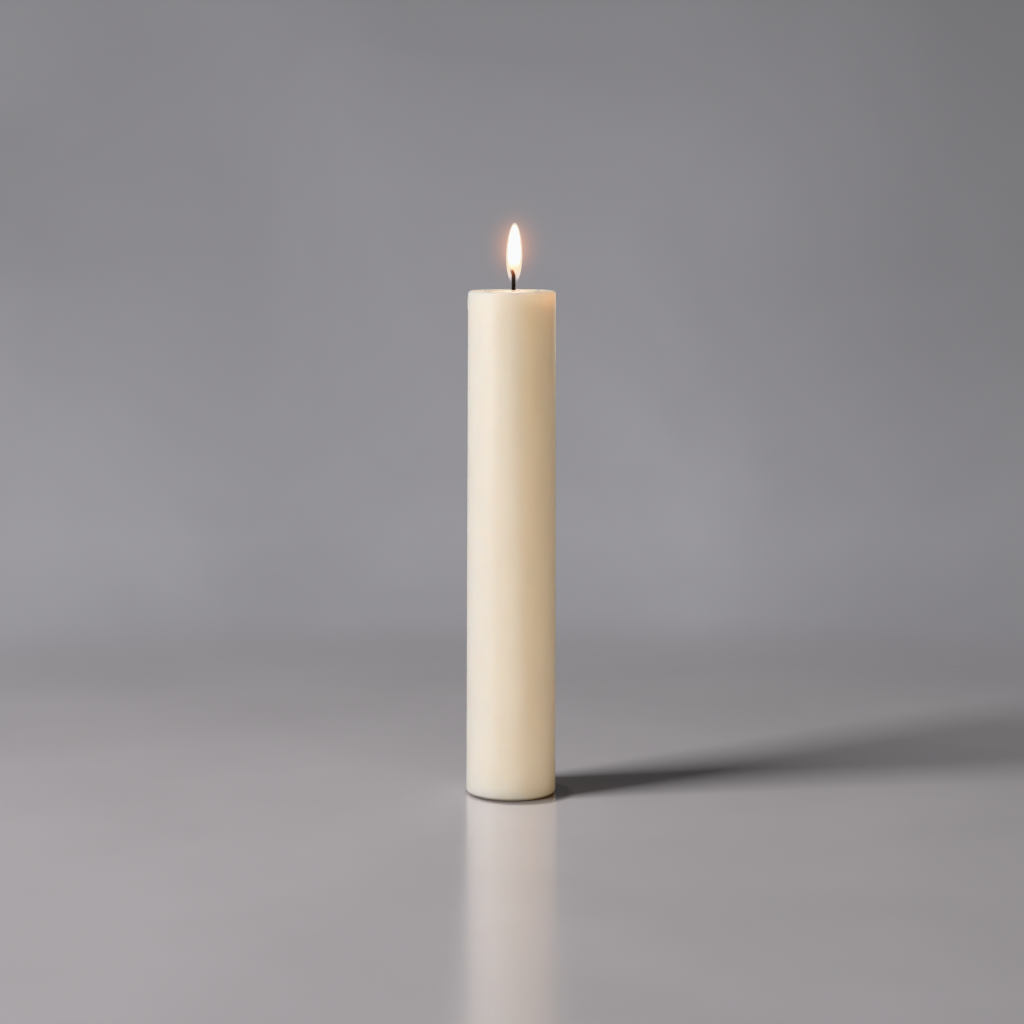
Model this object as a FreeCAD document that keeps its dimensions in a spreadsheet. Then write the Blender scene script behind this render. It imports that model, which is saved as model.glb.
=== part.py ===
"""A moulded pillar candle, burning: a drafted wax body, a cored and braided wick held by a metal sustainer,
the charred end of the wick standing in its pool of melted wax, and the flame.

Millimetres, +Z up, origin at the centre of the base that the candle stands on. The wick's channel runs
parallel to the candle's axis and a little to its +X side, so the wick, its sustainer and the flame share
that offset.
"""

import FreeCAD, Part

import math
import os

import Sketcher

DIMENSIONS = {
    "candle_height": (286.0, "base to rim"),
    "base_diameter": (51.0, "wide end, which is the open end of the mould"),
    "top_diameter": (49.0, "narrow end; the difference is the mould's draft"),
    "shoulder_radius": (1.8, "round edge of the rim"),
    "foot_radius": (2.0, "round edge of the base"),
    "hollow_diameter": (38.0, "shrinkage hollow under the base, inside the foot ring"),
    "hollow_depth": (0.8, "depth of that hollow on the axis"),
    "pool_diameter": (32.0, "dish melted into the top, across its rim"),
    "pool_depth": (1.4, "depth of the dish on the axis"),
    "pool_freeboard": (0.15, "from the rim down to the liquid"),
    "wick_offset": (0.9, "from the candle's axis to the wick's, along X"),
    "wick_diameter": (2.5, "outside of the braid"),
    "core_diameter": (0.9, "paper core inside the braid"),
    "wick_exposed": (11.5, "liquid surface to the middle of the wick's burnt end face"),
    "wick_straight": (8.2, "part of the exposed wick below its curl"),
    "curl_radius": (6.8, "bend of the wick's tip"),
    "tip_radius": (0.8, "rounding of the burnt tip"),
    "disc_diameter": (18.0, "sustainer's disc"),
    "sheet_thickness": (0.3, "sheet that the sustainer is stamped from"),
    "neck_height": (6.0, "sustainer's neck, from the underside of its disc"),
    "flame_width": (9.2, "widest part of the flame"),
    "flame_height": (34.3, "foot of the flame to its tip"),
    "flame_waist": (15.3, "foot of the flame up to its widest part"),
    "flame_clearance": (3.4, "liquid surface to the foot of the flame"),
    "flame_shift": (0.2, "from the wick's axis to the flame's, along X"),
}

LIQUID_LEVEL = "dims.candle_height - dims.pool_freeboard"
WICK_LENGTH = f"{LIQUID_LEVEL} - dims.hollow_depth"
FLAME_AXIS = "dims.wick_offset + dims.flame_shift"
FLAME_FOOT = f"{LIQUID_LEVEL} + dims.flame_clearance"


def make_sheet(doc):
    """The spreadsheet that every size in the model is bound to."""
    sheet = doc.addObject("Spreadsheet::Sheet", "dims")
    for row, (alias, (value, note)) in enumerate(DIMENSIONS.items(), start=1):
        sheet.set(f"A{row}", note)
        sheet.set(f"B{row}", str(value))
        sheet.setAlias(f"B{row}", alias)
    doc.recompute()
    return sheet


def origin_plane(body, role):
    return next(feature for feature in body.Origin.OriginFeatures if feature.Role == role)


def new_body(doc, label):
    body = doc.addObject("PartDesign::Body", label)
    body.Label = label
    return body


def new_part(doc, kind, label):
    item = doc.addObject(f"Part::{kind}", label)
    item.Label = label
    return item


def new_sketch(body, name, plane):
    sketch = body.newObject("Sketcher::SketchObject", name)
    sketch.AttachmentSupport = [(origin_plane(body, plane), "")]
    sketch.MapMode = "FlatFace"
    return sketch


def point(across, up):
    """A point in a sketch's own plane."""
    return FreeCAD.Vector(across, up, 0)


def circle(across, up, radius):
    return Part.Circle(point(across, up), FreeCAD.Vector(0, 0, 1), radius)


def relate(sketch, *constraint):
    return sketch.addConstraint(Sketcher.Constraint(*constraint))


def size(sketch, name, expression, *constraint):
    """A named driving constraint whose value is an expression of the sheet's cells."""
    index = relate(sketch, *constraint)
    sketch.renameConstraint(index, name)
    sketch.setExpression(f"Constraints.{name}", expression)


def add_outline(sketch, corners):
    """A closed run of lines through the corners, joined end to end."""
    count = len(corners)
    for i, corner in enumerate(corners):
        sketch.addGeometry(Part.LineSegment(point(*corner), point(*corners[(i + 1) % count])))
    for i in range(count):
        relate(sketch, "Coincident", i, 2, (i + 1) % count, 1)


def add_feature(body, kind, name, **settings):
    feature = body.newObject(f"PartDesign::{kind}", name)
    for key, value in settings.items():
        setattr(feature, key, value)
    body.Tip = feature
    body.Document.recompute()
    return feature


def spin(body, kind, name, sketch):
    """A Revolution or Groove of the sketch, a full turn about its vertical axis."""
    add_feature(body, kind, name, Profile=sketch, ReferenceAxis=(sketch, ["V_Axis"]), Angle=360)


def cut_less(body, before, name):
    """Stops the script if the feature just made took nothing away."""
    if not body.Shape.Volume < before:
        raise RuntimeError(f"{name} cut nothing")


def cut_spin(body, name, sketch):
    before = body.Shape.Volume
    spin(body, "Groove", name, sketch)
    cut_less(body, before, name)


def cut_hole(body, name, diameter, depth=None):
    """Cuts a round hole on the wick's axis, upwards from the XY plane, to a depth or right through."""
    sketch = new_sketch(body, f"{name}_section", "XY_Plane")
    sketch.addGeometry(circle(1, 0, 1))
    relate(sketch, "PointOnObject", 0, 3, -1)
    size(sketch, "centre", "dims.wick_offset", "DistanceX", -1, 1, 0, 3, 1)
    size(sketch, "hole", diameter, "Diameter", 0, 2)
    before = body.Shape.Volume
    pocket = add_feature(body, "Pocket", name, Profile=sketch, Reversed=True, Length=1)
    if depth is None:
        pocket.Type = "ThroughAll"
    else:
        pocket.setExpression("Length", depth)
    body.Document.recompute()
    cut_less(body, before, name)


def round_edge(body, name, edge, radius):
    """Rounds one edge of the body's last feature."""
    fillet = add_feature(body, "Fillet", name, Base=(body.Tip, [edge]), Radius=0.1)
    fillet.setExpression("Radius", radius)
    body.Document.recompute()


def widest_edge(shape, height):
    """The name of the largest circular edge at that height."""
    rounds = [
        (edge.Curve.Radius, f"Edge{number}")
        for number, edge in enumerate(shape.Edges, start=1)
        if isinstance(edge.Curve, Part.Circle) and abs(edge.Curve.Center.z - height) < 1e-4
    ]
    return max(rounds)[1]


def highest_edge(shape):
    """The name of the edge whose middle is highest."""
    heights = [(edge.CenterOfMass.z, f"Edge{number}") for number, edge in enumerate(shape.Edges, start=1)]
    return max(heights)[1]


def dish_radius(dish):
    """The expression for the radius of a spherical dish, from its width across and its depth."""
    half, depth = f"(dims.{dish}_diameter / 2)", f"dims.{dish}_depth"
    return f"({half} ^ 2 + {depth} ^ 2) / (2 * {depth})"


def dish_sketch(body, name, dish, deepest, level=None, opens_up=True):
    """Half of a lens: a dish's arc, closed by a flat at its open side and by the axis.

    deepest and level are the heights of the arc on the axis and of the flat; with no level given, the flat
    lies on the ground.
    """
    sketch = new_sketch(body, name, "XZ_Plane")
    side = 1 if opens_up else -1
    on_axis, beside = -side * math.pi / 2, -side * math.pi / 4
    arc = Part.ArcOfCircle(circle(0, side * 10, 10), min(on_axis, beside), max(on_axis, beside))
    sketch.addGeometry(arc)
    outer, inner = (2, 1) if opens_up else (1, 2)
    corner = sketch.getPoint(0, outer)
    sketch.addGeometry(Part.LineSegment(corner, point(0, corner.y)))
    sketch.addGeometry(Part.LineSegment(point(0, corner.y), point(0, 0)))
    relate(sketch, "Coincident", 0, outer, 1, 1)
    relate(sketch, "Coincident", 1, 2, 2, 1)
    relate(sketch, "Coincident", 2, 2, 0, inner)
    relate(sketch, "Horizontal", 1)
    for item, end in ((0, 3), (1, 2), (2, 2)):
        relate(sketch, "PointOnObject", item, end, -2)
    size(sketch, "dish", dish_radius(dish), "Radius", 0, 10)
    size(sketch, "deepest", deepest, "DistanceY", -1, 1, 2, 2, 1)
    if level is None:
        relate(sketch, "PointOnObject", 1, 1, -1)
    else:
        size(sketch, "level", level, "DistanceY", -1, 1, 1, 2, 1)
    return sketch


def make_wax_body(doc, cell):
    """The casting: a drafted cylinder with round edges, melted hollow round the wick and shrunk hollow below."""
    body = new_body(doc, "wax_body")
    base, top, height = cell("base_diameter") / 2, cell("top_diameter") / 2, cell("candle_height")
    outline = new_sketch(body, "casting_outline", "XZ_Plane")
    add_outline(outline, [(0, 0), (base, 0), (top, height), (0, height)])
    relate(outline, "Coincident", 0, 1, -1, 1)
    relate(outline, "Horizontal", 0)
    relate(outline, "Horizontal", 2)
    relate(outline, "Vertical", 3)
    size(outline, "base", "dims.base_diameter / 2", "DistanceX", 0, 1, 0, 2, base)
    size(outline, "top", "dims.top_diameter / 2", "DistanceX", 2, 2, 2, 1, top)
    size(outline, "height", "dims.candle_height", "DistanceY", 3, 2, 3, 1, height)
    spin(body, "Revolution", "casting", outline)
    round_edge(body, "shoulder", widest_edge(body.Shape, height), "dims.shoulder_radius")
    round_edge(body, "foot", widest_edge(body.Shape, 0), "dims.foot_radius")

    pool_floor = "dims.candle_height - dims.pool_depth"
    cut_spin(body, "pool_dish", dish_sketch(body, "pool_section", "pool", pool_floor, "dims.candle_height"))
    hollow = dish_sketch(body, "hollow_section", "hollow", "dims.hollow_depth", opens_up=False)
    cut_spin(body, "shrinkage_hollow", hollow)

    cut_hole(body, "disc_seat", "dims.disc_diameter", "dims.hollow_depth + dims.sheet_thickness")
    neck = "dims.wick_diameter + 2 * dims.sheet_thickness"
    cut_hole(body, "neck_seat", neck, "dims.hollow_depth + dims.neck_height")
    cut_hole(body, "wick_channel", "dims.wick_diameter")


def make_melt_pool(doc):
    """The liquid wax that feeds the wick: it fills its dish to just under the rim, round the wick."""
    body = new_body(doc, "melt_pool")
    pool_floor = "dims.candle_height - dims.pool_depth"
    section = dish_sketch(body, "liquid_section", "pool", pool_floor, LIQUID_LEVEL)
    spin(body, "Revolution", "liquid", section)
    cut_hole(body, "wick_opening", "dims.wick_diameter")


def make_wick_braid(doc):
    """The plaited cotton jacket, as a plain sleeve, from the sustainer's disc to the liquid's surface."""
    body = new_body(doc, "wick_braid")
    section = new_sketch(body, "braid_section", "XY_Plane")
    for index, (name, diameter) in enumerate((("outside", "wick_diameter"), ("inside", "core_diameter"))):
        section.addGeometry(circle(0, 0, 2 - index))
        relate(section, "Coincident", index, 3, -1, 1)
        size(section, name, f"dims.{diameter}", "Diameter", index, 2)
    pad = add_feature(body, "Pad", "braid", Profile=section, Length=1)
    pad.setExpression("Length", WICK_LENGTH)
    place(body, x="dims.wick_offset", z="dims.hollow_depth")


def make_wick_core(doc):
    """The stiff paper core that keeps the wick upright, inside the whole length of the braid."""
    core = new_part(doc, "Cylinder", "wick_core")
    core.setExpression("Radius", "dims.core_diameter / 2")
    core.setExpression("Height", WICK_LENGTH)
    place(core, x="dims.wick_offset", z="dims.hollow_depth")


def make_wick_charred_end(doc, cell):
    """The burnt end of the wick: straight out of the liquid, then curling to one side at a rounded tip."""
    body = new_body(doc, "wick_charred_end")
    exposed, straight, bend = cell("wick_exposed"), cell("wick_straight"), cell("curl_radius")
    spine = new_sketch(body, "charred_spine", "XZ_Plane")
    spine.addGeometry(Part.LineSegment(point(0, 0), point(0, straight)))
    turn = math.asin((exposed - straight) / bend)
    spine.addGeometry(Part.ArcOfCircle(circle(-bend, straight, bend), 0, turn))
    relate(spine, "Coincident", 0, 1, -1, 1)
    relate(spine, "Vertical", 0)
    relate(spine, "Tangent", 0, 2, 1, 1)
    size(spine, "straight", "dims.wick_straight", "DistanceY", 0, 1, 0, 2, straight)
    size(spine, "bend", "dims.curl_radius", "Radius", 1, bend)
    size(spine, "exposed", "dims.wick_exposed", "DistanceY", -1, 1, 1, 2, exposed)
    section = new_sketch(body, "charred_section", "XY_Plane")
    section.addGeometry(circle(0, 0, 1))
    relate(section, "Coincident", 0, 3, -1, 1)
    size(section, "outside", "dims.wick_diameter", "Diameter", 0, 2)
    add_feature(body, "AdditivePipe", "charred_wick", Profile=section, Spine=(spine, []))
    round_edge(body, "burnt_tip", highest_edge(body.Shape), "dims.tip_radius")
    place(body, x="dims.wick_offset", z=LIQUID_LEVEL)
    return body


def make_wick_sustainer(doc, cell):
    """The stamped tab: a flat disc under the wax, drawn up into a neck that is crimped on the wick."""
    body = new_body(doc, "wick_sustainer")
    inner, sheet = cell("wick_diameter") / 2, cell("sheet_thickness")
    outer, disc, neck = inner + sheet, cell("disc_diameter") / 2, cell("neck_height")
    section = new_sketch(body, "tab_section", "XZ_Plane")
    add_outline(section, [(inner, 0), (disc, 0), (disc, sheet), (outer, sheet), (outer, neck), (inner, neck)])
    for flat, upright in ((0, 1), (2, 3), (4, 5)):
        relate(section, "Horizontal", flat)
        relate(section, "Vertical", upright)
    relate(section, "PointOnObject", 0, 1, -1)
    size(section, "bore", "dims.wick_diameter / 2", "DistanceX", -1, 1, 0, 1, inner)
    size(section, "disc", "dims.disc_diameter / 2", "DistanceX", -1, 1, 0, 2, disc)
    size(section, "disc_sheet", "dims.sheet_thickness", "DistanceY", 1, 1, 1, 2, sheet)
    size(section, "neck_sheet", "dims.sheet_thickness", "DistanceX", 4, 2, 4, 1, sheet)
    size(section, "neck", "dims.neck_height", "DistanceY", -1, 1, 4, 1, neck)
    spin(body, "Revolution", "tab", section)
    place(body, x="dims.wick_offset", z="dims.hollow_depth")


def half_ellipsoid(doc, label, half_height, lowest, highest):
    """The flame's foot or its tip, from one latitude to another, with its flat side at the widest level."""
    half = new_part(doc, "Ellipsoid", label)
    half.Angle1 = lowest
    half.Angle2 = highest
    half.setExpression("Radius1", half_height)
    half.setExpression("Radius2", "dims.flame_width / 2")
    place(half, x=FLAME_AXIS, z=f"{FLAME_FOOT} + dims.flame_waist")
    return half


def make_flame(doc, wick_end):
    """The bright part of the flame: a short half egg and a long one, open where the wick's end stands in it."""
    foot = half_ellipsoid(doc, "flame_below_waist", "dims.flame_waist", -90, 0)
    tip = half_ellipsoid(doc, "flame_above_waist", "dims.flame_height - dims.flame_waist", 0, 90)
    whole = new_part(doc, "Fuse", "flame_whole")
    whole.Base, whole.Tool = foot, tip
    flame = new_part(doc, "Cut", "flame")
    flame.Base, flame.Tool = whole, wick_end


def place(item, **where):
    """Binds the item's Placement to the sheet, one coordinate at a time."""
    for coordinate, expression in where.items():
        item.setExpression(f".Placement.Base.{coordinate}", expression)


def build(doc):
    """Makes every piece and returns their labels, which name their files."""
    sheet = make_sheet(doc)

    def cell(alias):
        return float(sheet.get(alias))

    make_wax_body(doc, cell)
    make_melt_pool(doc)
    make_wick_braid(doc)
    make_wick_core(doc)
    wick_end = make_wick_charred_end(doc, cell)
    make_wick_sustainer(doc, cell)
    make_flame(doc, wick_end)
    doc.recompute()
    return [
        "wax_body",
        "melt_pool",
        "wick_braid",
        "wick_core",
        "wick_charred_end",
        "wick_sustainer",
        "flame",
    ]


def check(doc, labels):
    """Stops the script if any object failed to build or any piece is not one valid solid."""
    broken = [item.Label for item in doc.Objects if {"Invalid", "Error"} & set(item.State)]
    if broken:
        raise RuntimeError(f"these objects failed to build: {broken}")
    for label in labels:
        shape = doc.getObject(label).Shape
        if shape.isNull() or not shape.isValid() or len(shape.Solids) != 1:
            raise RuntimeError(f"{label} is not one valid solid")


def main():
    doc = FreeCAD.newDocument("pillar_candle")
    labels = build(doc)
    check(doc, labels)
    os.makedirs("parts", exist_ok=True)
    for label in labels:
        shape = doc.getObject(label).Shape
        shape.exportStep(f"parts/{label}.step")
        print(f"{label}: {shape.Volume:.1f} mm3, z {shape.BoundBox.ZMin:.2f} to {shape.BoundBox.ZMax:.2f}")


main()
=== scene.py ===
"""A burning ivory pillar candle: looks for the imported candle, in its own frame, in metres."""

import math

import bpy
import numpy as np
from mathutils import Matrix, Vector, noise


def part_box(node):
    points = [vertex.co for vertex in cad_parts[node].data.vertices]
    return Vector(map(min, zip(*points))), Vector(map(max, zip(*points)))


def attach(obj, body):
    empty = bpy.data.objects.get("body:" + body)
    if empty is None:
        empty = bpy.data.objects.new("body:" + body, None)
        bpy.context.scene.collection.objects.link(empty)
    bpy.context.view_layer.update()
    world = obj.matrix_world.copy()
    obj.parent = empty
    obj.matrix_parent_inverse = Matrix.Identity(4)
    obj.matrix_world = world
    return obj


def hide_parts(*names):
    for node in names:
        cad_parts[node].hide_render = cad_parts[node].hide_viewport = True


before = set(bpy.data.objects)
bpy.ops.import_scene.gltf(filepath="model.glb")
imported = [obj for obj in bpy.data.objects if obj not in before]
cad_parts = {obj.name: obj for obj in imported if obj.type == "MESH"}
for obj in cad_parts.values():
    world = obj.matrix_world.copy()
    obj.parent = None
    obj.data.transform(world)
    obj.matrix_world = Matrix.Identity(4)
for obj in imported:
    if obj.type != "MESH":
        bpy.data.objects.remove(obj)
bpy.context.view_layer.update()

MM = 0.001
TURN = 2 * math.pi

# ---------------------------------------------------------------- sizes read from the frame

_, WAX_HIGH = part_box("wax_body")
POOL_LOW, POOL_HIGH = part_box("melt_pool")
BRAID_LOW, BRAID_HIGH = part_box("wick_braid")
DISC_LOW, DISC_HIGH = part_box("wick_sustainer")
_, CHAR_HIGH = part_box("wick_charred_end")
FLAME_LOW, FLAME_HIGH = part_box("flame")

BASE_RADIUS = WAX_HIGH.x
RIM = WAX_HIGH.z
LIQUID = POOL_HIGH.z
WICK_X = (BRAID_LOW.x + BRAID_HIGH.x) / 2
WICK_RADIUS = (BRAID_HIGH.y - BRAID_LOW.y) / 2
DISC_RADIUS = (DISC_HIGH.y - DISC_LOW.y) / 2
DISC_Z = DISC_LOW.z
NECK_TOP = DISC_HIGH.z
FLAME_X = (FLAME_LOW.x + FLAME_HIGH.x) / 2
FLAME_RADIUS = (FLAME_HIGH.y - FLAME_LOW.y) / 2
FLAME_FOOT = FLAME_LOW.z
FLAME_HEIGHT = FLAME_HIGH.z - FLAME_LOW.z

# ---------------------------------------------------------------- sizes of the design that a box can't tell

DRAFT = 1.0 * MM  # how much the side leans in from base to rim
SHOULDER = 1.8 * MM
FOOT = 2.0 * MM
HOLLOW_RADIUS = 19.0 * MM
HOLLOW_DEPTH = DISC_Z
SHEET = 0.3 * MM  # thickness of the sustainer's metal
WICK_STRAIGHT = 8.2 * MM  # height above the liquid where the wick starts to curl
WICK_EXPOSED = 11.5 * MM  # height above the liquid of its end
CURL_RADIUS = 6.8 * MM
FLAME_WAIST = 15.3 * MM  # height above the flame's foot where it is widest

POOL_DEPTH = RIM - POOL_LOW.z
FREEBOARD = RIM - LIQUID
POOL_RADIUS = POOL_HIGH.x / math.sqrt(1 - FREEBOARD / POOL_DEPTH)

AROUND = 256  # points round the wax
LIQUID_RINGS = 41


# ---------------------------------------------------------------- small maths


def smooth_step(low, high, value):
    """0 below low, 1 above high, and a smooth rise between them."""
    t = min(1.0, max(0.0, (value - low) / (high - low)))
    return t * t * (3 - 2 * t)


def round_noise(angle, height, grain, seed):
    """Perlin noise that closes on itself round the candle; grain is its size in metres."""
    at = Vector((math.cos(angle) * BASE_RADIUS, math.sin(angle) * BASE_RADIUS, height)) / grain
    return noise.noise(at + Vector((seed, 0, 0)))


def spread(low, high, count):
    """Evenly spaced values, both ends included."""
    return np.linspace(low, high, count).tolist()


def every(step, low, high):
    """Values a step apart, up to but not including high."""
    return np.arange(low, high, step).tolist()


def arc(centre, middle, radius, start, end, steps):
    """(radius, height) points on a round corner, from one angle to another in degrees."""
    angles = [math.radians(a) for a in spread(start, end, steps)]
    return [(centre + radius * math.cos(a), middle + radius * math.sin(a)) for a in angles]


# ---------------------------------------------------------------- meshes


def new_piece(name, verts, faces, material, slot, replaced=()):
    """A smooth-shaded mesh that rides on the candle, with the material given; slot is not used."""
    mesh = bpy.data.meshes.new(name)
    mesh.from_pydata([tuple(v) for v in verts], [], faces)
    mesh.validate()
    mesh.polygons.foreach_set("use_smooth", [True] * len(mesh.polygons))
    mesh.materials.append(material)
    piece = bpy.data.objects.new(name, mesh)
    bpy.context.scene.collection.objects.link(piece)
    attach(piece, "root")
    for node in replaced:
        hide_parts(node)
    return piece


def ring_faces(rings, around, closed=False):
    """Quads between rings of points that follow each other in the vertex list."""
    faces = []
    for i in range(rings if closed else rings - 1):
        here, there = i * around, (i + 1) % rings * around
        for j in range(around):
            k = (j + 1) % around
            faces.append((here + j, here + k, there + k, there + j))
    return faces


def capped_tube(verts, rings, around):
    """A tube of rings that run upwards and anticlockwise, closed by a face at each end."""
    first = tuple(range(around))
    last = tuple((rings - 1) * around + j for j in range(around))
    return verts, ring_faces(rings, around) + [first[::-1], last]


# ---------------------------------------------------------------- the wax body


def side_radius(height):
    return BASE_RADIUS - DRAFT * height / RIM


def pool_edge(angle):
    """The dish's rim wanders a little, as melting leaves it."""
    return POOL_RADIUS * (1 + 0.03 * round_noise(angle, 0, 14 * MM, 3.0))


LIP = 0.06 * MM  # how far the dish's lip is rounded off


def wax_top(x, y):
    """Height of the wax on top: flat at the rim, dished under the pool, with a soft lip between."""
    share = math.hypot(x, y) / pool_edge(math.atan2(y, x))
    depth = POOL_DEPTH * (1 - share * share) / LIP
    dish = LIP * (math.log1p(math.exp(depth)) if depth < 30 else depth)
    grain = 0.035 * MM * noise.noise(Vector((x, y, 0)) / (5 * MM))
    return RIM - dish + grain


def wax_under(x, y):
    """Height of the wax in the hollow that it leaves under the base as it shrinks."""
    share = min(1.0, math.hypot(x, y) / HOLLOW_RADIUS)
    grain = 0.04 * MM * noise.noise(Vector((x, y, 0.1)) / (4 * MM))
    return HOLLOW_DEPTH * (1 - share * share) + grain * (1 - share**4)


RUN_MIDDLE = RIM - 7.2 * MM  # a small run of wax down the left of the side
RUN_PROUD = 0.28 * MM
RUN_HALF_WIDTH = 2.4 * MM
RUN_HALF_LENGTH = 3.9 * MM
RINGS_MIDDLE = 4 * MM  # faint rings that the mould left near the foot
RINGS_PROUD = 0.018 * MM
RINGS_SPREAD = 2.2 * MM
RINGS_APART = 0.62 * MM * TURN


def casting_waves(angle, height):
    broad = 0.06 * MM * round_noise(angle, height * 0.35, 22 * MM, 0.0)
    fine = 0.015 * MM * round_noise(angle, height, 5 * MM, 9.0)
    return broad + fine


def mould_rings(height):
    fade = math.exp(-(((height - RINGS_MIDDLE) / RINGS_SPREAD) ** 2))
    return RINGS_PROUD * math.sin(TURN * height / RINGS_APART) * fade


def wax_run(angle, height):
    off = (angle - math.pi + TURN / 2) % TURN - TURN / 2
    across = off * BASE_RADIUS / RUN_HALF_WIDTH
    along = (height - RUN_MIDDLE) / RUN_HALF_LENGTH
    return RUN_PROUD * math.exp(-(across**2)) * max(0.0, 1 - along**4) ** 0.75


def side_relief(angle, height):
    """How far the side stands proud of a true cone."""
    return casting_waves(angle, height) + mould_rings(height) + wax_run(angle, height)


def seat_rings():
    """The hole for the wick's neck and the seat of the sustainer's disc, round the wick's axis."""
    edge = 0.04 * MM
    seat_top = DISC_Z + SHEET
    neck = WICK_RADIUS + SHEET
    return [
        (WICK_RADIUS, NECK_TOP, 1),
        (neck, NECK_TOP, 1),
        (neck, NECK_TOP - edge, 1),
        (neck, seat_top + edge, 1),
        (neck + edge, seat_top, 1),
        (DISC_RADIUS - edge, seat_top, 1),
        (DISC_RADIUS, seat_top - edge, 1),
        (DISC_RADIUS, DISC_Z - 0.1 * MM, 1),
        (DISC_RADIUS + 0.12 * MM, wax_under, 1),
    ]


def underside_rings():
    """The hollow, which moves from the wick's axis to the candle's, and the flat round it."""
    hollow = spread(DISC_RADIUS + 0.8 * MM, HOLLOW_RADIUS - 0.2 * MM, 14)
    rings = [(r, wax_under, 1 - smooth_step(hollow[0], 14 * MM, r)) for r in hollow]
    rings += [(HOLLOW_RADIUS + 0.1 * MM, 0.004 * MM, 0)]
    flat = spread(HOLLOW_RADIUS + 0.4 * MM, BASE_RADIUS - FOOT, 5)
    return rings + [(r, 0.0, 0) for r in flat]


def side_rings():
    """The round foot, the drafted side and the round shoulder; close together where there is relief."""
    heights = every(0.25 * MM, FOOT + 0.25 * MM, 9 * MM)
    heights += every(2.5 * MM, 11 * MM, RIM - 17 * MM)
    heights += every(0.4 * MM, RIM - 16 * MM, RIM - SHOULDER)
    outline = arc(BASE_RADIUS - FOOT, FOOT, FOOT, -90, 0, 12)[1:]
    outline += [(side_radius(z), z) for z in heights]
    outline += arc(side_radius(RIM) - SHOULDER, RIM - SHOULDER, SHOULDER, 0, 84, 11)
    return [(r, z, 0) for r, z in outline]


def top_rings():
    """The flat rim, the lip and the dish, which moves back to the wick's axis."""
    rim = spread(side_radius(RIM) - SHOULDER, POOL_RADIUS * 1.06, 7)
    lip = spread(POOL_RADIUS * 1.05, POOL_RADIUS * 0.86, 24)
    dish = spread(POOL_RADIUS * 0.84, WICK_RADIUS, 16)
    rings = [(r, wax_top, 0) for r in rim + lip]
    return rings + [(r, wax_top, smooth_step(-dish[0], -4 * MM, -r)) for r in dish]


def wax_rings():
    """The casting's section, as (radius, height or a function of place, share of the wick's offset)."""
    return seat_rings() + underside_rings() + side_rings() + top_rings()


def make_wax_body(material):
    verts = []
    rings = wax_rings()
    for radius, height, share in rings:
        for j in range(AROUND):
            angle = TURN * j / AROUND
            r, z = radius, height
            if not callable(height) and radius > HOLLOW_RADIUS and height > 0:
                r += side_relief(angle, height) * smooth_step(0, 1.2 * MM, height)
            x = r * math.cos(angle) + share * WICK_X
            y = r * math.sin(angle)
            if callable(height):
                z = height(x, y)
            verts.append((x, y, z))
    faces = ring_faces(len(rings), AROUND, closed=True)
    return new_piece("wax_casting", verts, faces, material, "candle_wax", ["wax_body"])


# ---------------------------------------------------------------- the liquid wax


CLIMB = 0.42 * MM  # how far the liquid climbs the wick
WETTING = 0.04 * MM  # and the dish's rim


def liquid_top(from_wick, from_edge):
    """Height of the liquid: level, but climbing the wick and wetting the dish's rim."""
    climb = CLIMB * math.exp(-from_wick / (0.55 * MM))
    wet = WETTING * math.exp(-from_edge / (0.5 * MM))
    return LIQUID + climb + wet


def shoreline(angle):
    """How far from the axis the wax comes up through the liquid."""
    low, high = 0.7 * POOL_RADIUS, 1.1 * POOL_RADIUS
    for _ in range(40):
        middle = (low + high) / 2
        if wax_top(middle * math.cos(angle), middle * math.sin(angle)) < liquid_top(1, 0):
            low = middle
        else:
            high = middle
    return high


def liquid_rings():
    """Rings from the wick out to the shore: the liquid's top, and the dish just under it."""
    inner = 0.8 * WICK_RADIUS
    top, bottom = [], []
    angles = [TURN * j / AROUND for j in range(AROUND)]
    shores = [shoreline(angle) for angle in angles]
    for i in range(LIQUID_RINGS):
        share = (i / (LIQUID_RINGS - 1)) ** 1.5
        for angle, shore in zip(angles, shores):
            out = Vector((math.cos(angle), math.sin(angle)))
            at_edge = shore * out
            place = (Vector((WICK_X, 0)) + inner * out).lerp(at_edge, share)
            from_wick = max(0.0, math.hypot(place.x - WICK_X, place.y) - WICK_RADIUS)
            level = liquid_top(from_wick, (place - at_edge).length)
            top.append((*place, level))
            bottom.append((*place, min(wax_top(*place) - 0.02 * MM, level - 0.01 * MM)))
    return top, bottom


def make_melt_pool(material):
    """The liquid, as a ring whose section runs in along the dish and back out along the top."""
    top, bottom = liquid_rings()
    section = []
    for i in reversed(range(LIQUID_RINGS)):
        section += bottom[i * AROUND : (i + 1) * AROUND]
    section += top
    faces = ring_faces(2 * LIQUID_RINGS, AROUND, closed=True)
    faces = [face[::-1] for face in faces]
    return new_piece("melted_wax", section, faces, material, "melted_wax", ["melt_pool"])


# ---------------------------------------------------------------- the wick

YARNS = 4  # in each direction of the braid
PITCH = 6.2 * MM  # length in which a yarn goes once round
YARN_WIDE = 0.42 * MM  # half widths of a yarn
YARN_THICK = 0.2 * MM
YARN_SIDES = 8
WEAVE = 0.19 * MM  # how far a yarn goes in and out as it crosses the others

CURL_START = LIQUID + WICK_STRAIGHT
CURL_ANGLE = math.asin((WICK_EXPOSED - WICK_STRAIGHT) / CURL_RADIUS)
WICK_END = CURL_START + CURL_RADIUS * CURL_ANGLE  # height along the wick of its burnt end


def wick_line(height):
    """The wick's centre at a height along it, and how far it leans there from +Z towards -X, as an angle."""
    beyond = max(0.0, height - CURL_START)
    turn = beyond / CURL_RADIUS
    side = CURL_RADIUS * (1 - math.cos(turn))
    rise = CURL_RADIUS * math.sin(turn)
    return Vector((WICK_X - side, 0, height - beyond + rise)), turn


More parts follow.
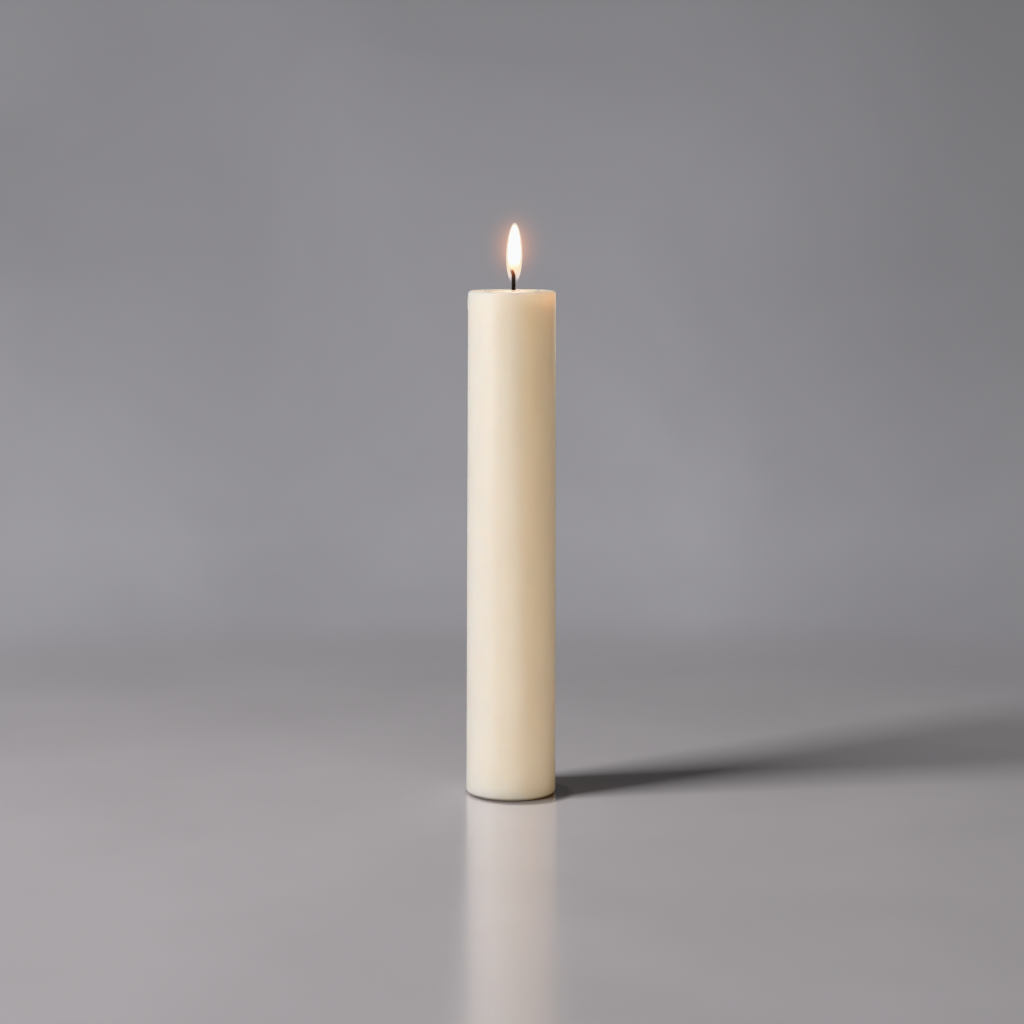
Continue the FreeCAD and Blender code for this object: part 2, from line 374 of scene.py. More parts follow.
def on_wick(height, angle, radius):
    """A point beside the wick's centre line."""
    centre, turn = wick_line(height)
    across = Vector((math.cos(turn), 0, math.sin(turn)))
    return centre + radius * (math.cos(angle) * across + math.sin(angle) * Vector((0, 1, 0)))


def burnt(height):
    """How much the wick has shrunk at a height: whole in the wax, thinner towards its tip."""
    charred = 0.03 * smooth_step(LIQUID, LIQUID + 1 * MM, height)
    thinned = 0.16 * smooth_step(LIQUID + 6 * MM, WICK_END, height)
    return 1 - charred - thinned


RAGGED = 0.10 * MM  # how far charring throws a yarn off its path
FUZZ = 0.35  # how much it roughens the yarn, as a share of its size


def char_noise(a, b, height, grain):
    return noise.noise(Vector((a, b, height / grain)))


def yarn(index, hand, heights, ragged):
    """One yarn of the braid, as a closed flat tube. hand is 1 or -1, the way that it winds."""
    lay = WICK_RADIUS - YARN_THICK - WEAVE
    verts = []
    for n, height in enumerate(heights):
        scale = burnt(height)
        angle = TURN * (index / YARNS + hand * height / PITCH)
        swing = math.cos(YARNS * TURN * height / PITCH)
        char = ragged * smooth_step(LIQUID + 1 * MM, WICK_END, height)
        radius = (lay + hand * WEAVE * swing) * scale
        radius += char * RAGGED * char_noise(index * 7.1, hand * 3.3, height, 0.8 * MM)
        from_end = min(n, len(heights) - 1 - n)
        closing = scale * (0.25, 0.8, 1.0)[min(from_end, 2)]
        slope = math.atan2(TURN * hand * radius, PITCH)
        for k in range(YARN_SIDES):
            a = -TURN * k / YARN_SIDES
            fuzz = 1 + char * FUZZ * char_noise(index, hand * 5 + k * 0.9, height, 0.35 * MM)
            out = YARN_THICK * closing * math.sin(a) * fuzz
            side = YARN_WIDE * closing * math.cos(a) * fuzz
            around = side * math.cos(slope) / max(radius, 0.3 * MM)
            verts.append(on_wick(height - side * math.sin(slope), angle + around, radius + out))
    return capped_tube(verts, len(heights), YARN_SIDES)


def filler(heights, radius):
    """The wick's inside, a plain rod that keeps the braid from being seen through."""
    verts, sides = [], 12
    for height in heights:
        verts += [on_wick(height, TURN * k / sides, radius * burnt(height)) for k in range(sides)]
    return capped_tube(verts, len(heights), sides)


def join(parts):
    """Several meshes as one."""
    verts, faces = [], []
    for more, loops in parts:
        start = len(verts)
        verts += more
        faces += [tuple(start + i for i in loop) for loop in loops]
    return verts, faces


def braid(low, high, step, ragged=0.0, uneven=0.0):
    """All the yarns, half of them winding each way, with ends that differ by up to uneven."""
    parts = []
    for index in range(YARNS):
        for hand in (1, -1):
            end = high + uneven * noise.noise(Vector((index * 2.7, hand * 1.9, 0.5)))
            parts.append(yarn(index, hand, every(step, low, end), ragged))
    return parts


def make_wick(cotton, char):
    hidden = braid(BRAID_LOW.z, LIQUID + 0.3 * MM, 0.26 * MM)
    new_piece("wick_braid_cotton", *join(hidden), cotton, "wick_cotton", ["wick_braid"])
    foot = LIQUID + 0.1 * MM
    burning = braid(foot, WICK_END, 0.11 * MM, ragged=1.0, uneven=0.7 * MM)
    burning.append(filler(every(0.3 * MM, foot, WICK_END - 0.1 * MM), 0.72 * MM))
    new_piece("wick_charred_braid", *join(burning), char, "charred_wick", ["wick_charred_end"])


# ---------------------------------------------------------------- the sustainer


PRESSED_RING = 5.6 * MM  # radius of the ring that stiffens the disc
CRIMP = 0.10  # how far the neck is pinched, as a share of its radius


def tab_section():
    """(radius, height) points round the sheet: out under the disc, back over it, and up and down the neck."""
    hole = WICK_RADIUS
    outside = hole + SHEET
    under = []
    for r in spread(hole + 0.25 * MM, DISC_RADIUS - 0.25 * MM, 36):
        press = 0.22 * MM * math.exp(-(((r - PRESSED_RING) / (0.5 * MM)) ** 2))
        under.append((r, DISC_Z + press))
    rim = arc(DISC_RADIUS - SHEET / 2, DISC_Z + SHEET / 2, SHEET / 2, -90, 90, 9)[1:-1]
    over = [(r, z + SHEET) for r, z in under[::-1] if r > outside + 0.5 * MM]
    root = arc(outside + 0.45 * MM, DISC_Z + SHEET + 0.45 * MM, 0.45 * MM, 270, 180, 6)
    neck = [(outside, z) for z in spread(DISC_Z + SHEET + 0.7 * MM, NECK_TOP - 0.1 * MM, 16)]
    lip = [(hole + SHEET / 2, NECK_TOP)]
    bore = [(hole, z) for z in spread(NECK_TOP - 0.1 * MM, DISC_Z + 0.35 * MM, 16)]
    mouth = [(hole + 0.08 * MM, DISC_Z + 0.1 * MM)]
    return under + rim + over + root + neck + lip + bore + mouth


def make_sustainer(material):
    """A stamped tab: disc with a pressed ring, drawn up into a neck that is crimped on four sides."""
    section = tab_section()
    around = 96
    verts = []
    for r, z in section:
        on_neck = r < WICK_RADIUS + SHEET + 0.2 * MM
        crimp = CRIMP * smooth_step(DISC_Z + 1.5 * MM, DISC_Z + 2.5 * MM, z) * on_neck
        for j in range(around):
            angle = TURN * j / around
            pinched = r * (1 - crimp * max(0.0, math.cos(4 * angle)) ** 2)
            verts.append((WICK_X + pinched * math.cos(angle), pinched * math.sin(angle), z))
    faces = ring_faces(len(section), around, closed=True)
    return new_piece("sustainer_tab", verts, faces, material, "sustainer_metal", ["wick_sustainer"])


# ---------------------------------------------------------------- the flame


FLAME_LEAN = 0.4 * MM


def flame_width(share):
    """Half the flame's width at a share of its height, as a share of the widest.

    An egg below the waist and a slim point above it.
    """
    waist = FLAME_WAIST / FLAME_HEIGHT
    if share < waist:
        return math.sqrt(max(0.0, 1 - (1 - share / waist) ** 2))
    return max(0.0, 1 - ((share - waist) / (1 - waist)) ** 1.65) ** 0.5


def make_flame_shell(name, material, foot, tip, width, replaced=()):
    """One layer of the flame, between two shares of its height, as wide as that share of the whole."""
    around, rings = 64, 90
    verts = []
    for i in range(rings):
        share = (1 - math.cos(math.pi * (i + 0.35) / (rings - 0.3))) / 2
        height = foot + (tip - foot) * share
        radius = FLAME_RADIUS * width * flame_width(share)
        x = FLAME_X + FLAME_LEAN * height**1.5
        z = FLAME_FOOT + FLAME_HEIGHT * height
        for j in range(around):
            angle = TURN * j / around
            verts.append((x + radius * math.cos(angle), radius * math.sin(angle), z))
    shell = new_piece(name, *capped_tube(verts, rings, around), material, "flame_glow", replaced)
    shell.visible_shadow = False
    shell.visible_diffuse = False
    return shell


# ---------------------------------------------------------------- materials


def add_node(tree, kind, inputs=(), **settings):
    """A new node in a tree. Each input is a value, or the output of another node."""
    node = tree.nodes.new(kind)
    for key, value in settings.items():
        setattr(node, key, value)
    for key, value in dict(inputs).items():
        if isinstance(value, bpy.types.NodeSocket):
            tree.links.new(value, node.inputs[key])
        else:
            node.inputs[key].default_value = value
    return node


def grey(tone):
    return (tone, tone, tone)


def rgba(colour):
    """A colour with alpha; the output of a node is passed on as it is."""
    return (*colour, 1.0) if isinstance(colour, tuple) else colour


def set_stops(ramp, stops):
    """Fills a new colour ramp, which has two stops to begin with."""
    for i, (position, colour) in enumerate(stops):
        element = ramp.elements[i] if i < 2 else ramp.elements.new(position)
        element.position = position
        element.color = rgba(colour)


class Graph:
    """A material with a Principled shader, and short calls for the nodes that feed it."""

    def __init__(self, name, **sockets):
        self.material = bpy.data.materials.new(name)
        self.material.use_nodes = True
        self.tree = self.material.node_tree
        self.shader = self.tree.nodes["Principled BSDF"]
        for socket, value in sockets.items():
            self.shader.inputs[socket.replace("_", " ")].default_value = value

    def add(self, kind, inputs=(), **settings):
        return add_node(self.tree, f"ShaderNode{kind}", inputs, **settings)

    def place(self):
        return self.add("TexCoord").outputs["Object"]

    def scaled(self, x, y, z):
        """Places in units of 1/x, 1/y and 1/z metres."""
        return self.add("Mapping", {"Vector": self.place(), "Scale": (x, y, z)}).outputs["Vector"]

    def noise(self, scale, detail=3.0, vector=None):
        vector = vector or self.place()
        return self.add("TexNoise", {"Vector": vector, "Scale": scale, "Detail": detail}).outputs["Fac"]

    def along(self, axis):
        """Position along X, Y or Z."""
        return self.add("SeparateXYZ", {"Vector": self.place()}).outputs[axis]

    def height(self):
        return self.along("Z")

    def remap(self, value, low, high, to_low=0.0, to_high=1.0, smooth=True):
        ends = {"Value": value, "From Min": low, "From Max": high, "To Min": to_low, "To Max": to_high}
        kind = "SMOOTHSTEP" if smooth else "LINEAR"
        return self.add("MapRange", ends, interpolation_type=kind).outputs["Result"]

    def ramp(self, value, *stops):
        node = self.add("ValToRGB", {"Fac": value})
        set_stops(node.color_ramp, stops)
        return node.outputs["Color"]

    def mix(self, factor, first, second, mode="MIX"):
        inputs = {0: factor, 6: rgba(first), 7: rgba(second)}
        return self.add("Mix", inputs, data_type="RGBA", blend_type=mode).outputs[2]

    def maths(self, operation, first, second=0.0):
        return self.add("Math", {0: first, 1: second}, operation=operation).outputs[0]

    def away_from(self, x, y):
        """Distance in plan from an upright axis."""
        off = self.add("VectorMath", {0: self.place(), 1: (x, y, 0)}, operation="SUBTRACT")
        flat = self.add("VectorMath", {0: off.outputs["Vector"], 1: (1, 1, 0)}, operation="MULTIPLY")
        return self.add("VectorMath", {0: flat.outputs["Vector"]}, operation="LENGTH").outputs["Value"]

    def feed(self, socket, value):
        self.tree.links.new(value, self.shader.inputs[socket])

    def bump(self, height, strength, distance):
        node = self.add("Bump", {"Height": height, "Strength": strength, "Distance": distance})
        self.feed("Normal", node.outputs["Normal"])


BLACK = grey(0.0)


def wax_colour(g):
    """Clouded ivory with a little frost, and a painted contact shade in dark brown on the foot's round edge
    where it meets the floor.
    """
    cloud = g.noise(1.0, 4.0, g.scaled(70, 70, 26))
    body = g.ramp(cloud, (0.30, (0.865, 0.815, 0.705)), (0.72, (0.895, 0.855, 0.755)))
    frost = g.remap(g.noise(900.0, 2.0), 0.45, 0.8, 0.0, 0.15)
    body = g.mix(frost, body, (0.93, 0.91, 0.86))
    # Painted shade: dark brown on the foot's round edge, low down and out near the rim of the base.
    inside = g.remap(g.away_from(0, 0), BASE_RADIUS - 2.4 * MM, BASE_RADIUS - 1.2 * MM, 1.0, 0.0)
    out_of_painted_shade = g.maths("MAXIMUM", inside, g.remap(g.height(), 0.2 * MM, 2.2 * MM))
    return g.mix(out_of_painted_shade, (0.42, 0.33, 0.23), body)


def wax_roughness(g):
    """Satin, and glossier in the dish, where it is wet."""
    dry = g.remap(g.noise(1.0, 3.0, g.scaled(220, 220, 60)), 0.3, 0.7, 0.42, 0.54)
    out_of_dish = g.remap(g.away_from(0, 0), 0.96 * POOL_RADIUS, 1.08 * POOL_RADIUS)
    on_top = g.remap(g.height(), RIM - 1 * MM, RIM - 0.5 * MM)
    dryness = g.maths("MAXIMUM", out_of_dish, g.maths("SUBTRACT", 1.0, on_top))
    return g.maths("MULTIPLY", dry, g.remap(dryness, 0, 1, 0.35, 1.0))


def wax_glow(g):
    """Painted flame glow: emission standing in for flame light soaked through the wax, on the top and on the
    upper part of the shaded side.
    """
    near = g.remap(g.away_from(WICK_X, 0), 2 * MM, BASE_RADIUS, 1.0, 0.35)
    lit = g.maths("MULTIPLY", near, g.remap(g.height(), RIM - 0.9 * MM, RIM - 0.1 * MM))
    top_glow = g.ramp(lit, (0.0, BLACK), (1.0, (0.20, 0.160, 0.125)))
    shaded = g.remap(g.along("X"), -4 * MM, 15 * MM)
    rising = g.remap(g.height(), RIM - 11 * MM, RIM - 2 * MM)
    below_top = g.remap(g.height(), RIM - 1.2 * MM, RIM - 0.2 * MM, 1.0, 0.0)
    soaked = g.maths("MULTIPLY", g.maths("MULTIPLY", shaded, rising), below_top)
    side_glow = g.ramp(soaked, (0.0, BLACK), (1.0, (0.13, 0.070, 0.050)))
    return g.mix(1.0, top_glow, side_glow, "ADD")


def wax_material():
    """Translucent ivory wax with a satin coat and a painted flame glow."""
    g = Graph(
        "ivory_wax",
        Subsurface_Weight=1.0,
        Subsurface_Radius=(1.0, 0.82, 0.68),
        Subsurface_Scale=0.014,
        IOR=1.44,
        Coat_Weight=0.3,
        Coat_Roughness=0.3,
        Emission_Strength=1.0,
    )
    g.shader.subsurface_method = "RANDOM_WALK"
    g.feed("Base Color", wax_colour(g))
    g.feed("Roughness", wax_roughness(g))
    # Painted light: emission for the flame's glow through the wax.
    g.feed("Emission Color", wax_glow(g))
    g.bump(g.noise(2200.0, 3.0), 0.25, 0.02 * MM)
    return g.material


def melted_material():
    """Liquid wax: glossy and partly clear, deeper in colour near the wick, with painted flame light, a glow
    that is strongest near the wick.
    """
    g = Graph("liquid_wax", Roughness=0.2, IOR=1.4, Emission_Strength=1.0)
    outwards = g.remap(g.away_from(WICK_X, 0), 1.5 * MM, POOL_RADIUS)
    g.feed("Base Color", g.ramp(outwards, (0.0, (0.86, 0.72, 0.54)), (0.5, (0.89, 0.80, 0.68))))
    # Painted flame light: emission over the whole pool, strongest near the wick.
    g.feed("Emission Color", g.ramp(outwards, (0.0, (0.63, 0.52, 0.44)), (0.8, (0.54, 0.45, 0.38))))
    g.feed("Alpha", g.remap(outwards, 0.0, 1.0, 0.5, 0.25))
    return g.material


def cotton_material():
    """Cotton yarn soaked in wax, browned where it comes near the flame."""
    g = Graph("waxed_cotton", IOR=1.44, Subsurface_Weight=0.3, Subsurface_Scale=0.002)
    fibre = g.noise(1.0, 3.0, g.scaled(5000, 5000, 1400))
    pale = g.ramp(fibre, (0.3, (0.62, 0.56, 0.45)), (0.75, (0.80, 0.76, 0.66)))
    g.feed("Base Color", g.mix(g.remap(g.height(), LIQUID - 1.2 * MM, LIQUID), pale, (0.06, 0.035, 0.02)))
    g.feed("Roughness", g.remap(fibre, 0.2, 0.8, 0.45, 0.7))
    g.bump(fibre, 0.5, 0.03 * MM)
    return g.material


def core_material():
    """Twisted paper cord."""
    g = Graph("paper_core", Roughness=0.85)
    wave = {"Vector": g.scaled(1, 1, 0.6), "Scale": 1100.0, "Distortion": 2.0}
    twist = g.add("TexWave", wave, bands_direction="DIAGONAL").outputs["Fac"]
    g.feed("Base Color", g.ramp(twist, (0.2, (0.52, 0.46, 0.36)), (0.8, (0.72, 0.67, 0.56))))
    g.bump(twist, 0.5, 0.04 * MM)
    return g.material


EMBER = (
    (0.50, (0.004, 0.001, 0.0)),
    (0.60, (0.012, 0.003, 0.001)),
    (0.71, (0.05, 0.012, 0.002)),
    (0.81, (0.10, 0.020, 0.002)),
    (0.92, (0.24, 0.070, 0.015)),
    (1.00, (0.40, 0.15, 0.04)),
)


def char_material():
    """Charred yarn: matt black, then brown, then glowing at the curled tip."""
    g = Graph("charred_yarn", IOR=1.4, Specular_IOR_Level=0.15, Emission_Strength=1.0)
    soot = g.noise(4200.0, 4.0)
    up = g.remap(g.height(), LIQUID, CHAR_HIGH.z, smooth=False)
    black = g.ramp(soot, (0.3, (0.004, 0.003, 0.003)), (0.8, (0.014, 0.011, 0.010)))
    g.feed("Base Color", g.mix(g.remap(up, 0.5, 0.95), black, (0.07, 0.024, 0.007)))
    g.feed("Roughness", g.remap(soot, 0.2, 0.8, 0.55, 0.9))
    g.feed("Emission Color", g.ramp(up, *EMBER))
    g.bump(soot, 0.8, 0.05 * MM)
    return g.material


def tin_material():
    """Dull tinplate with rolling marks and a thin film of wax."""
    g = Graph("tinplate", Metallic=1.0)
    marks = g.noise(1.0, 3.0, g.scaled(350, 6000, 350))
    blotch = g.noise(260.0, 3.0)
    bare = g.ramp(marks, (0.3, (0.42, 0.42, 0.41)), (0.7, (0.60, 0.60, 0.58)))
    g.feed("Base Color", g.mix(g.remap(blotch, 0.5, 0.75, 0.0, 0.5), bare, (0.55, 0.52, 0.45)))
    g.feed("Roughness", g.remap(blotch, 0.3, 0.75, 0.26, 0.5))
    g.bump(marks, 0.2, 0.01 * MM)
    return g.material


def flame_material(name, colours, before, beside, strength):
    """Glowing gas: only light, and how much it covers what is behind it.

    before and beside are that cover by height, in front of the wick and to its sides.
    """
    g = Graph(name, Base_Color=rgba(BLACK), Roughness=1.0, Specular_IOR_Level=0.0, Emission_Strength=strength)
    up = g.remap(g.height(), FLAME_FOOT, FLAME_FOOT + FLAME_HEIGHT, smooth=False)
    g.feed("Emission Color", g.ramp(up, *colours))
    curl = g.remap(g.height(), CURL_START, CHAR_HIGH.z, 0.0, 0.9 * MM)
    off = g.maths("ADD", g.maths("SUBTRACT", g.along("X"), WICK_X), curl)
    narrowing = g.remap(g.height(), LIQUID + 5 * MM, CHAR_HIGH.z, 1.0, 0.8)
    off = g.maths("DIVIDE", g.maths("ABSOLUTE", off), narrowing)
    side = g.remap(off, 0.85 * WICK_RADIUS, 1.25 * WICK_RADIUS)
    covers = [g.ramp(up, *[(at, grey(cover)) for at, cover in stops]) for stops in (before, beside)]
    g.feed("Alpha", g.mix(side, *covers))
    return g.material


FLAME_LAYERS = 4

# Colours and covers by share of the flame's height, for the veil and for the bright layers in it.
VEIL_COLOURS = (
    (0.00, (0.60, 0.58, 0.62)),
    (0.12, (0.92, 0.79, 0.72)),
    (0.24, (0.97, 0.80, 0.58)),
    (0.42, (0.88, 0.78, 0.67)),
    (1.00, (0.90, 0.76, 0.62)),
)
VEIL_BEFORE_WICK = ((0.0, 0.01), (0.21, 0.02), (0.25, 0.30), (0.30, 0.80))
VEIL_BESIDE_WICK = (
    (0.0, 0.05),
    (0.055, 0.20),
    (0.115, 0.55),
    (0.17, 0.75),
    (0.24, 0.82),
    (0.9, 0.82),
    (1.0, 0.6),
)
LAYER_COLOURS = (
    (0.20, (0.08, 0.055, 0.03)),
    (0.28, (0.13, 0.095, 0.05)),
    (0.38, (0.45, 0.42, 0.34)),
    (0.50, (1.0, 0.98, 0.96)),
)
LAYER_BEFORE_WICK = ((0.23, 0.0), (0.26, 0.15), (0.31, 0.5))
LAYER_BESIDE_WICK = ((0.12, 0.0), (0.22, 0.4), (1.0, 0.5))


def make_flame():
    """A veil round a body of ever brighter layers, so that its edge is soft and its middle white."""
    veil = flame_material("flame_veil_glow", VEIL_COLOURS, VEIL_BEFORE_WICK, VEIL_BESIDE_WICK, 1.0)
    make_flame_shell("flame_veil", veil, 0.0, 1.0, 0.965, ["flame"])
    for i in range(FLAME_LAYERS):
        inwards = i / (FLAME_LAYERS - 1)
        looks = (LAYER_COLOURS, LAYER_BEFORE_WICK, LAYER_BESIDE_WICK, 5.0 + 20.0 * inwards)
        glow = flame_material(f"flame_layer_{i}_glow", *looks)
        foot = 0.09 + 0.10 * inwards
        tip = 0.965 - 0.045 * inwards
        make_flame_shell(f"flame_layer_{i}", glow, foot, tip, 0.76 - 0.16 * inwards)


# ---------------------------------------------------------------- the stage


def floor_material():
    """Satin pale grey with painted light and shade: brighter towards +X, darker towards the front, and a
    painted contact shadow in a ring round the foot. It thins out to the studio's own tone far off.
    """
    g = Graph("pale_floor", Roughness=0.21, IOR=1.7, Coat_Weight=0.5, Coat_Roughness=0.15)
    g.shader.inputs["Specular Tint"].default_value = (1.0, 0.76, 0.80, 1.0)
    cloud = g.noise(1.0, 3.0, g.scaled(7.0, 7.0, 7.0))
    tone = g.ramp(cloud, (0.3, (0.530, 0.510, 0.525)), (0.7, (0.575, 0.553, 0.570)))
    # Painted light and shade: brighter towards +X, darker towards the front.
    painted_light_rightwards = g.remap(g.along("X"), -0.45, 0.45, 0.80, 1.3, smooth=False)
    painted_shade_to_front = g.remap(g.along("Y"), -0.45, -0.05, 0.86, 1.0, smooth=False)
    # Painted contact shadow: darker in a ring round the foot.
    from_foot = g.away_from(5 * MM, -3 * MM)
    painted_contact_shadow = g.remap(from_foot, BASE_RADIUS + 1 * MM, BASE_RADIUS + 7.5 * MM, 0.3, 1.0)
    painted_light_and_shade = g.maths("MULTIPLY", g.maths("MULTIPLY", painted_light_rightwards, painted_shade_to_front), painted_contact_shadow)
    g.feed("Base Color", g.mix(1.0, tone, painted_light_and_shade, "MULTIPLY"))
    gone = g.add("BsdfTransparent").outputs[0]
    far = g.remap(g.away_from(0, -0.35), 0.62, 0.98)
    blend = g.add("MixShader", {"Fac": far, 1: g.shader.outputs[0], 2: gone})
    g.tree.links.new(blend.outputs[0], g.tree.nodes["Material Output"].inputs["Surface"])
    return g.material


def make_floor():
    """A disc, wide enough for its edge to be where the floor has thinned out."""
    radius, around = 1.4, 96
    angles = [TURN * j / around for j in range(around)]
    verts = [(radius * math.cos(a), radius * math.sin(a), 0) for a in angles]
    mesh = bpy.data.meshes.new("floor")
    mesh.from_pydata(verts, [], [tuple(range(around))])
    mesh.materials.append(floor_material())
    floor = bpy.data.objects.new("floor", mesh)
    bpy.context.scene.collection.objects.link(floor)
    return floor


# How bright the studio is by height: 0 where the direction's Z is -0.25, and 1 where it is 0.75.
STUDIO_TONES = (
    (0.04, 0.275),
    (0.11, 0.315),
    (0.18, 0.285),
    (0.25, 0.262),
    (0.32, 0.235),
    (0.42, 0.11),
    (0.62, 0.025),
)


def make_world():
    """A dim studio round a clouded grey wall, which is even near the horizon but for a painted shade towards
    +X, and dark overhead.
    """
    world = bpy.data.worlds.new("studio")
    world.use_nodes = True
    bpy.context.scene.world = world
    tree = world.node_tree

    def add(kind, inputs=(), **settings):
        return add_node(tree, f"ShaderNode{kind}", inputs, **settings).outputs

    def remap(value, low, high, to_low, to_high, kind="SMOOTHSTEP"):
        ends = {"Value": value, "From Min": low, "From Max": high, "To Min": to_low, "To Max": to_high}
        return add("MapRange", ends, interpolation_type=kind)[0]

    way = add("TexCoord")["Generated"]
    part = add("SeparateXYZ", {0: way})
    band = add_node(tree, "ShaderNodeValToRGB", {"Fac": remap(part["Z"], -0.25, 0.75, 0, 1, "LINEAR")})
    set_stops(band.color_ramp, [(at, (tone, 0.975 * tone, 1.035 * tone)) for at, tone in STUDIO_TONES])
    # Painted shade: the wall darker towards +X.
    painted_shade_to_right = remap(part["X"], 0.04, 0.21, 1.0, 0.74)
    fog = add("TexNoise", {"Vector": way, "Scale": 7.0, "Detail": 4.0, "Distortion": 0.6})[0]
    fog = remap(fog, 0.3, 0.7, 0.93, 1.07, "LINEAR")
    shade = add("Math", {0: painted_shade_to_right, 1: fog}, operation="MULTIPLY")[0]
    tree.links.new(band.outputs["Color"], tree.nodes["Background"].inputs["Color"])
    tree.links.new(shade, tree.nodes["Background"].inputs["Strength"])


def area_light(name, azimuth, elevation, distance, size, power, colour, only=None):
    """A soft box, turned as if aimed at the candle's middle; azimuth is from -Y towards -X.

    With only, it lights just the pieces in that collection.
    """
    a, e = math.radians(azimuth), math.radians(elevation)
    away = Vector((-math.sin(a) * math.cos(e), -math.cos(a) * math.cos(e), math.sin(e)))
    light = bpy.data.lights.new(name, "AREA")
    light.shape = "RECTANGLE"
    light.size, light.size_y = size
    light.energy = power
    light.color = colour
    lamp = bpy.data.objects.new(name, light)
    lamp.location = Vector((0, 0, RIM / 2)) + away * distance
    lamp.rotation_mode = "QUATERNION"
    lamp.rotation_quaternion = away.to_track_quat("Z", "Y")
    lamp.visible_camera = False
    if only:
        lamp.light_linking.receiver_collection = only
    bpy.context.scene.collection.objects.link(lamp)
    return lamp


def flame_light(name, place, power, colour, only):
    """A small warm light for what the flame casts on the wax."""
    light = bpy.data.lights.new(name, "POINT")
    light.energy = power
    light.color = colour
    light.shadow_soft_size = 3 * MM
    lamp = bpy.data.objects.new(name, light)
    lamp.location = place
    lamp.visible_camera = False
    lamp.visible_glossy = False
    lamp.light_linking.receiver_collection = only
    bpy.context.scene.collection.objects.link(lamp)


def receivers(name, *pieces):
    """A collection of the pieces that a light is to reach."""
    group = bpy.data.collections.new(name)
    for piece in pieces:
        group.objects.link(piece)
    return group


KEY_PLACE = (67.5, 36, 1.7)  # azimuth, elevation, distance
KEY_SIZE = (0.60, 0.44)
KEY_WHITE = (1.0, 0.985, 0.99)
CARD = (0.7, 0.7)  # size of a reflector


def make_lights(wax, liquid, floor):
    """A big soft box on the left, about twice as strong on the floor, and weak lights for the wax alone.

    The weak ones are reflectors, a strip for the satin sheen, and the flame's own light. The floor does
    without them, so that the shadow stays deep.
    """
    floor_only = receivers("floor_only", floor)
    wax_only = receivers("candle_only", wax, liquid)
    area_light("key", *KEY_PLACE, KEY_SIZE, 20.2, KEY_WHITE)
    area_light("key_for_floor", *KEY_PLACE, KEY_SIZE, 20.8, KEY_WHITE, floor_only)
    area_light("warm_reflector", -45, 5, 1.6, CARD, 5.7, (1.0, 0.55, 0.04), wax_only)
    area_light("front_reflector", 8, 6, 1.6, CARD, 2.0, (1.0, 0.95, 0.85), wax_only)
    area_light("back_reflector", -160, 12, 1.6, CARD, 2.6, (1.0, 0.90, 0.72), wax_only)
    strip = area_light("sheen_strip", 58, 0, 1.2, (0.6, 0.9), 5.0, (1.0, 0.98, 1.0), wax_only)
    strip.visible_diffuse = False
    low = area_light("low_reflector", -5, 0, 0.36, (0.25, 0.08), 0.17, (1.0, 0.95, 0.90), wax_only)
    low.location.z = 0.045
    flame_light("flame_over_pool", (FLAME_X, 0, RIM + 17 * MM), 0.015, (1.0, 0.78, 0.58), wax_only)
    flame_light("flame_through_rim", (33 * MM, -17 * MM, RIM + 2 * MM), 0.0027, (1.0, 0.42, 0.12), wax_only)


HALO_SOURCE = 1.1  # brightness above which the picture blooms
HALO_FULL_FROM = 1 / 3.4  # brightness of what takes the whole halo, less if darker
HALO_FADE_FROM = 0.45  # brightness from which it takes less again
HALO_FADE_GAIN = 2.3  # and how fast
FLAME_WHITE = (0.955, 0.96, 0.96)  # the brightest that the flame shows as
HALOES = ((15, (0.25, 0.22, 0.15)), (33, (1.15, 0.30, 0.0)))  # blur in pixels, tint


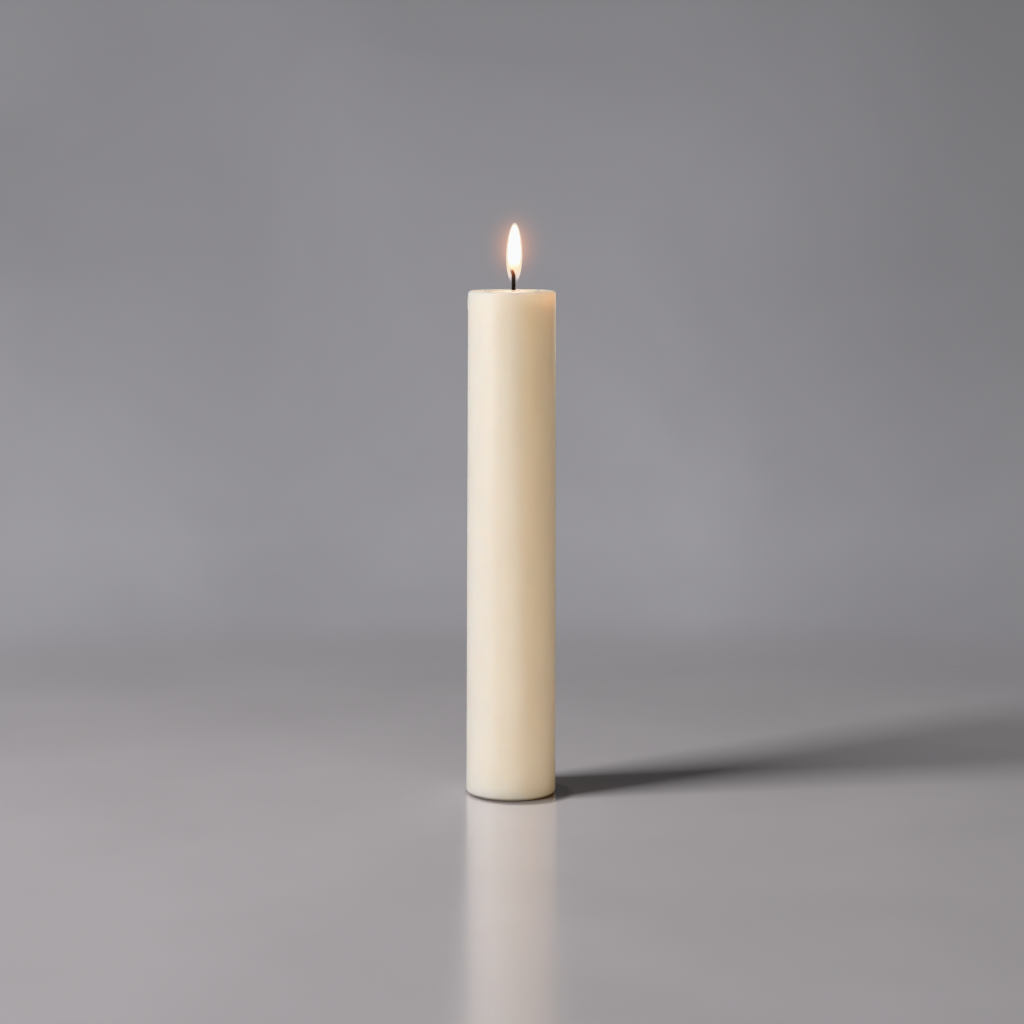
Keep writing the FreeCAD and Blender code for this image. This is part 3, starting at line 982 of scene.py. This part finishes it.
def make_halo():
    """The orange bloom that a lens gives round a bright flame: the brightest parts, blurred and tinted.

    It is kept off what is nearly black, which is the wick, and off what is bright already.
    """
    scene = bpy.context.scene
    scene.use_nodes = True
    tree = scene.node_tree
    tree.nodes.clear()

    def mix(mode, first, second, clamp=False):
        inputs = {1: rgba(first), 2: rgba(second)}
        node = add_node(tree, "CompositorNodeMixRGB", inputs, blend_type=mode, use_clamp=clamp)
        return node.outputs["Image"]

    picture = add_node(tree, "CompositorNodeRLayers").outputs["Image"]
    hot = mix("SUBTRACT", picture, grey(HALO_SOURCE), clamp=True)
    not_black = mix("DIVIDE", picture, grey(HALO_FULL_FROM), clamp=True)
    bright = mix("SUBTRACT", picture, grey(HALO_FADE_FROM), clamp=True)
    bright = mix("MULTIPLY", bright, grey(HALO_FADE_GAIN), clamp=True)
    not_bright = mix("SUBTRACT", grey(1.0), bright, clamp=True)
    taken = mix("MULTIPLY", not_black, not_bright)
    picture = mix("DARKEN", picture, FLAME_WHITE)
    for size, tint in HALOES:
        reach = {"filter_type": "GAUSS", "size_x": size, "size_y": size}
        blur = add_node(tree, "CompositorNodeBlur", {"Image": hot}, **reach)
        glow = mix("MULTIPLY", mix("MULTIPLY", blur.outputs["Image"], tint), taken)
        picture = mix("ADD", picture, glow)
    add_node(tree, "CompositorNodeComposite", {"Image": picture})


LENS = 86.6  # mm, on a 36 mm sensor
EYE = (0.0003, -1.38, 0.343)
LOOKING_DOWN = math.radians(7.5)
ROLL = math.radians(0.12)


def make_camera():
    camera = bpy.data.cameras.new("camera")
    camera.lens = LENS
    camera.sensor_width = 36.0
    camera.clip_start, camera.clip_end = 0.05, 50
    eye = bpy.data.objects.new("camera", camera)
    eye.location = EYE
    turn = Matrix.Rotation(math.pi / 2 - LOOKING_DOWN, 4, "X") @ Matrix.Rotation(ROLL, 4, "Z")
    eye.rotation_mode = "QUATERNION"
    eye.rotation_quaternion = turn.to_quaternion()
    bpy.context.scene.collection.objects.link(eye)
    bpy.context.scene.camera = eye


def make_stage(wax, liquid):
    floor = make_floor()
    make_world()
    make_lights(wax, liquid, floor)
    make_camera()
    make_halo()
    bpy.context.scene.view_settings.view_transform = "Standard"
    bpy.context.scene.cycles.transparent_max_bounces = 24


# ---------------------------------------------------------------- everything

wax = make_wax_body(wax_material())
liquid = make_melt_pool(melted_material())
make_wick(cotton_material(), char_material())
make_sustainer(tin_material())
make_flame()
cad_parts["wick_core"].data.materials.clear()
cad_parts["wick_core"].data.materials.append(core_material())
make_stage(wax, liquid)
